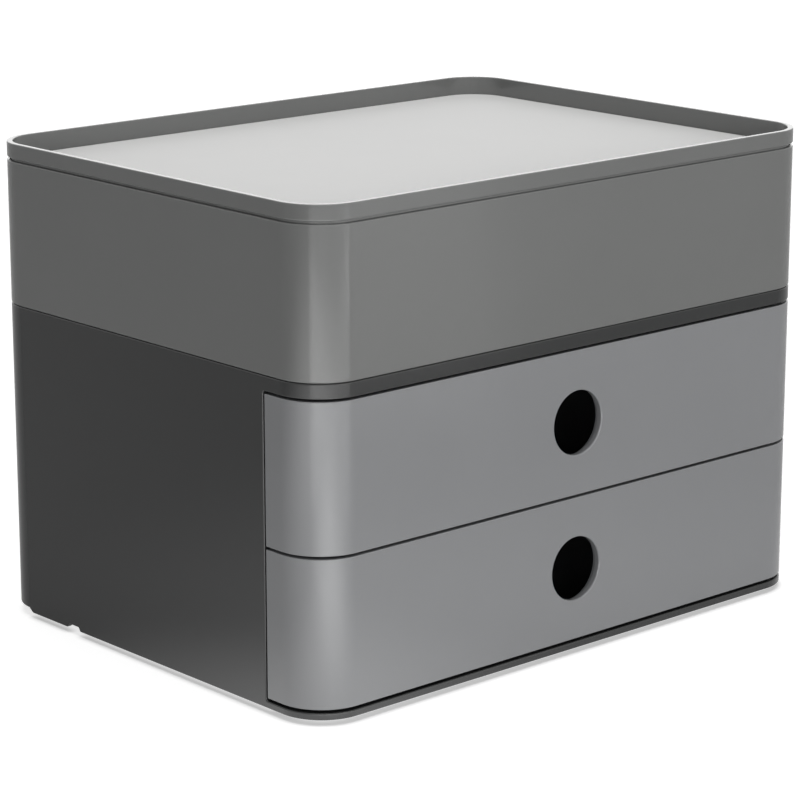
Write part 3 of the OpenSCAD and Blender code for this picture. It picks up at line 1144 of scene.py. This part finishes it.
@dataclass
class Studio:
    """White table in a white surround, soft lamps and the camera.

    The table's own white glow, seen by the camera alone, turns wholly white between the two
    distances of its reach. Close to the object it stays weaker, so that a shadow shows, and
    ambient occlusion dims it where the object stands close: a painted contact shadow. The pools
    are a further glow painted into the table that only a gloss shows: painted reflections.
    """

    camera_place: tuple[float, float, float] = (-0.78473, -0.87076, 0.38382)
    camera_turn: float = math.radians(-41.9286)
    camera_tilt: float = math.radians(90 - 14.4494)
    focal_length: float = 135.99
    sensor: float = 36.0
    nearest: float = 50 * MM
    table_reach: float = 8.0
    table_colour: str = "#d9d9d9"
    table_roughness: float = 0.12
    table_ior: float = 1.49
    table_glow: float = 0.74
    glow_reach: tuple[float, float] = (0.4, 1.6)
    # Reach of the ambient occlusion that paints a contact shadow into the camera's glow.
    foot_shadow: float = 3.2 * MM
    # Glows painted into the table, seen only in a gloss: painted reflections on the object's faces.
    pools: tuple[PaintedPool, ...] = (
        PaintedPool((0.03, -0.12, 0.0), 0, 0.6, 0.6, 0.45),
        PaintedPool((-0.18, -0.22, 0.0), -22, 0.32, 0.62, 2.1),
        PaintedPool((-0.45, -0.36, 0.0), -50, 1.2, 1.2, 2.1),
    )
    ambient: float = 0.03
    lamps: tuple[SoftBox, ...] = (
        SoftBox("wide_front_panel", -8, 7, 1.6, 3.7, 0.42, 9.0),
        SoftBox("corner_panel", -21, 8.4, 1.58, 2.8, 0.28, 9.8),
        SoftBox("overhead_panel", 0, 89, 1.8, 1.4, 1.4, 21.5),
        SoftBox("back_panel", 138, 16, 2.6, 2.6, 1.5, 11.0),
    )

    def build(self) -> None:
        """Adds camera, table, surround and lamps."""
        self.camera()
        self.table()
        self.surround()
        for lamp in self.lamps:
            lamp.build()

    def camera(self) -> None:
        """Adds the camera and makes it the scene's."""
        data = bpy.data.cameras.new("camera")
        data.lens = self.focal_length
        data.sensor_width = self.sensor
        data.clip_start = self.nearest
        camera = bpy.data.objects.new("camera", data)
        camera.location = self.camera_place
        camera.rotation_euler = (self.camera_tilt, 0, self.camera_turn)
        bpy.context.scene.collection.objects.link(camera)
        bpy.context.scene.camera = camera

    def table(self) -> None:
        """Adds the table: matt white to the eye, and glossy where the object mirrors it."""
        reach = self.table_reach
        bm = bmesh.new()
        bm.faces.new([bm.verts.new((x, y, 0)) for x, y in plan(-reach, reach, -reach, reach)])
        table = new_object("table", mesh_of("table", bm))
        material = bpy.data.materials.new("white_acrylic_table")
        material.use_nodes = True
        tree = material.node_tree
        tree.nodes.clear()
        white = linear_colour(self.table_colour)
        ray = add_node(tree, "ShaderNodeLightPath").outputs
        gloss = add_node(tree, "ShaderNodeBsdfPrincipled",
                         {"Base Color": white, "Roughness": self.table_roughness,
                          "IOR": self.table_ior})
        matt = add_node(tree, "ShaderNodeBsdfDiffuse", {"Color": white})
        surface = add_node(tree, "ShaderNodeMixShader",
                           {0: ray["Is Camera Ray"], 1: gloss.outputs[0], 2: matt.outputs[0]})
        glow = add_node(tree, "ShaderNodeEmission",
                        {"Color": (1, 1, 1, 1), "Strength": self.glow(tree, ray)})
        both = add_node(tree, "ShaderNodeAddShader", {0: surface.outputs[0], 1: glow.outputs[0]})
        add_node(tree, "ShaderNodeOutputMaterial", {"Surface": both.outputs[0]})
        table.data.materials.append(material)

    def glow(self, tree: NodeTree, ray: bpy_prop_collection) -> NodeSocket:
        """Adds the strength of the table's glow: for the camera, dimmed into a painted contact shadow
        near the object, and the pools' painted glow for what a gloss mirrors.

        Args:
            tree: The table's node tree.
            ray: The outputs of its Light Path node.

        Returns:
            The output that holds the strength.
        """
        # The pools' painted glow, for rays that come by way of a gloss: painted reflections on the
        # object.
        painted_pool_glow = 0.0
        for pool in self.pools:
            painted_pool_glow = pool.add(tree, painted_pool_glow)
        painted_reflection = add_node(tree, "ShaderNodeMath",
                            {0: self.in_gloss(tree, ray), 1: painted_pool_glow}, operation="MULTIPLY")
        # Ambient occlusion dims the camera's glow beside and below the object: a painted contact
        # shadow.
        contact_shadow_mask = add_node(tree, "ShaderNodeAmbientOcclusion", {"Distance": self.foot_shadow})
        seen = add_node(tree, "ShaderNodeMath",
                        {0: ray["Is Camera Ray"], 1: contact_shadow_mask.outputs["AO"]},
                        operation="MULTIPLY")
        place = add_node(tree, "ShaderNodeTexCoord").outputs["Object"]
        far = add_node(tree, "ShaderNodeVectorMath", {0: place}, operation="LENGTH")
        near, away = self.glow_reach
        white = add_node(tree, "ShaderNodeMapRange",
                         {"Value": far.outputs["Value"], "From Min": near, "From Max": away,
                          "To Min": self.table_glow, "To Max": 1.0},
                         interpolation_type="SMOOTHSTEP")
        strength = add_node(tree, "ShaderNodeMath",
                            {0: seen.outputs[0], 1: white.outputs["Result"],
                             2: painted_reflection.outputs[0]}, operation="MULTIPLY_ADD")
        return strength.outputs[0]

    @staticmethod
    def in_gloss(tree: NodeTree, ray: bpy_prop_collection) -> NodeSocket:
        """Adds the test for a ray that comes by way of a gloss or through a clear piece.

        Args:
            tree: The node tree.
            ray: The outputs of its Light Path node.

        Returns:
            The output that is 1 for such a ray and 0 for others.
        """
        either = add_node(tree, "ShaderNodeMath",
                          {0: ray["Is Glossy Ray"], 1: ray["Is Transmission Ray"]},
                          operation="MAXIMUM")
        return either.outputs[0]

    def surround(self) -> None:
        """Makes the surround white where it is seen, directly or in a gloss, and dim otherwise."""
        world = bpy.data.worlds.new("surround")
        world.use_nodes = True
        tree = world.node_tree
        tree.nodes.clear()
        ray = add_node(tree, "ShaderNodeLightPath").outputs
        seen = add_node(tree, "ShaderNodeMath",
                        {0: self.in_gloss(tree, ray), 1: ray["Is Camera Ray"]},
                        operation="MAXIMUM")
        strength = add_node(tree, "ShaderNodeMapRange",
                            {"Value": seen.outputs[0], "To Min": self.ambient, "To Max": 1.0})
        sky = add_node(tree, "ShaderNodeBackground",
                       {"Color": (1, 1, 1, 1), "Strength": strength.outputs["Result"]})
        add_node(tree, "ShaderNodeOutputWorld", {"Surface": sky.outputs[0]})
        bpy.context.scene.world = world
        bpy.context.scene.view_settings.view_transform = "Standard"


def main() -> None:
    """Builds the object and its studio."""
    logging.basicConfig(level=logging.INFO, format="%(name)s: %(message)s")
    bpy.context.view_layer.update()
    Studio().build()
    pieces = [Housing().build()]
    for level in Level:
        pieces += Drawer(level).build()
    pieces.append(UtensilBox().build())
    pieces += Lid().build()
    pieces.append(Feet().build())
    for piece in pieces:
        LOG.info("%s: %d faces", piece.name, len(piece.data.polygons))


if __name__ == "__main__":
    main()
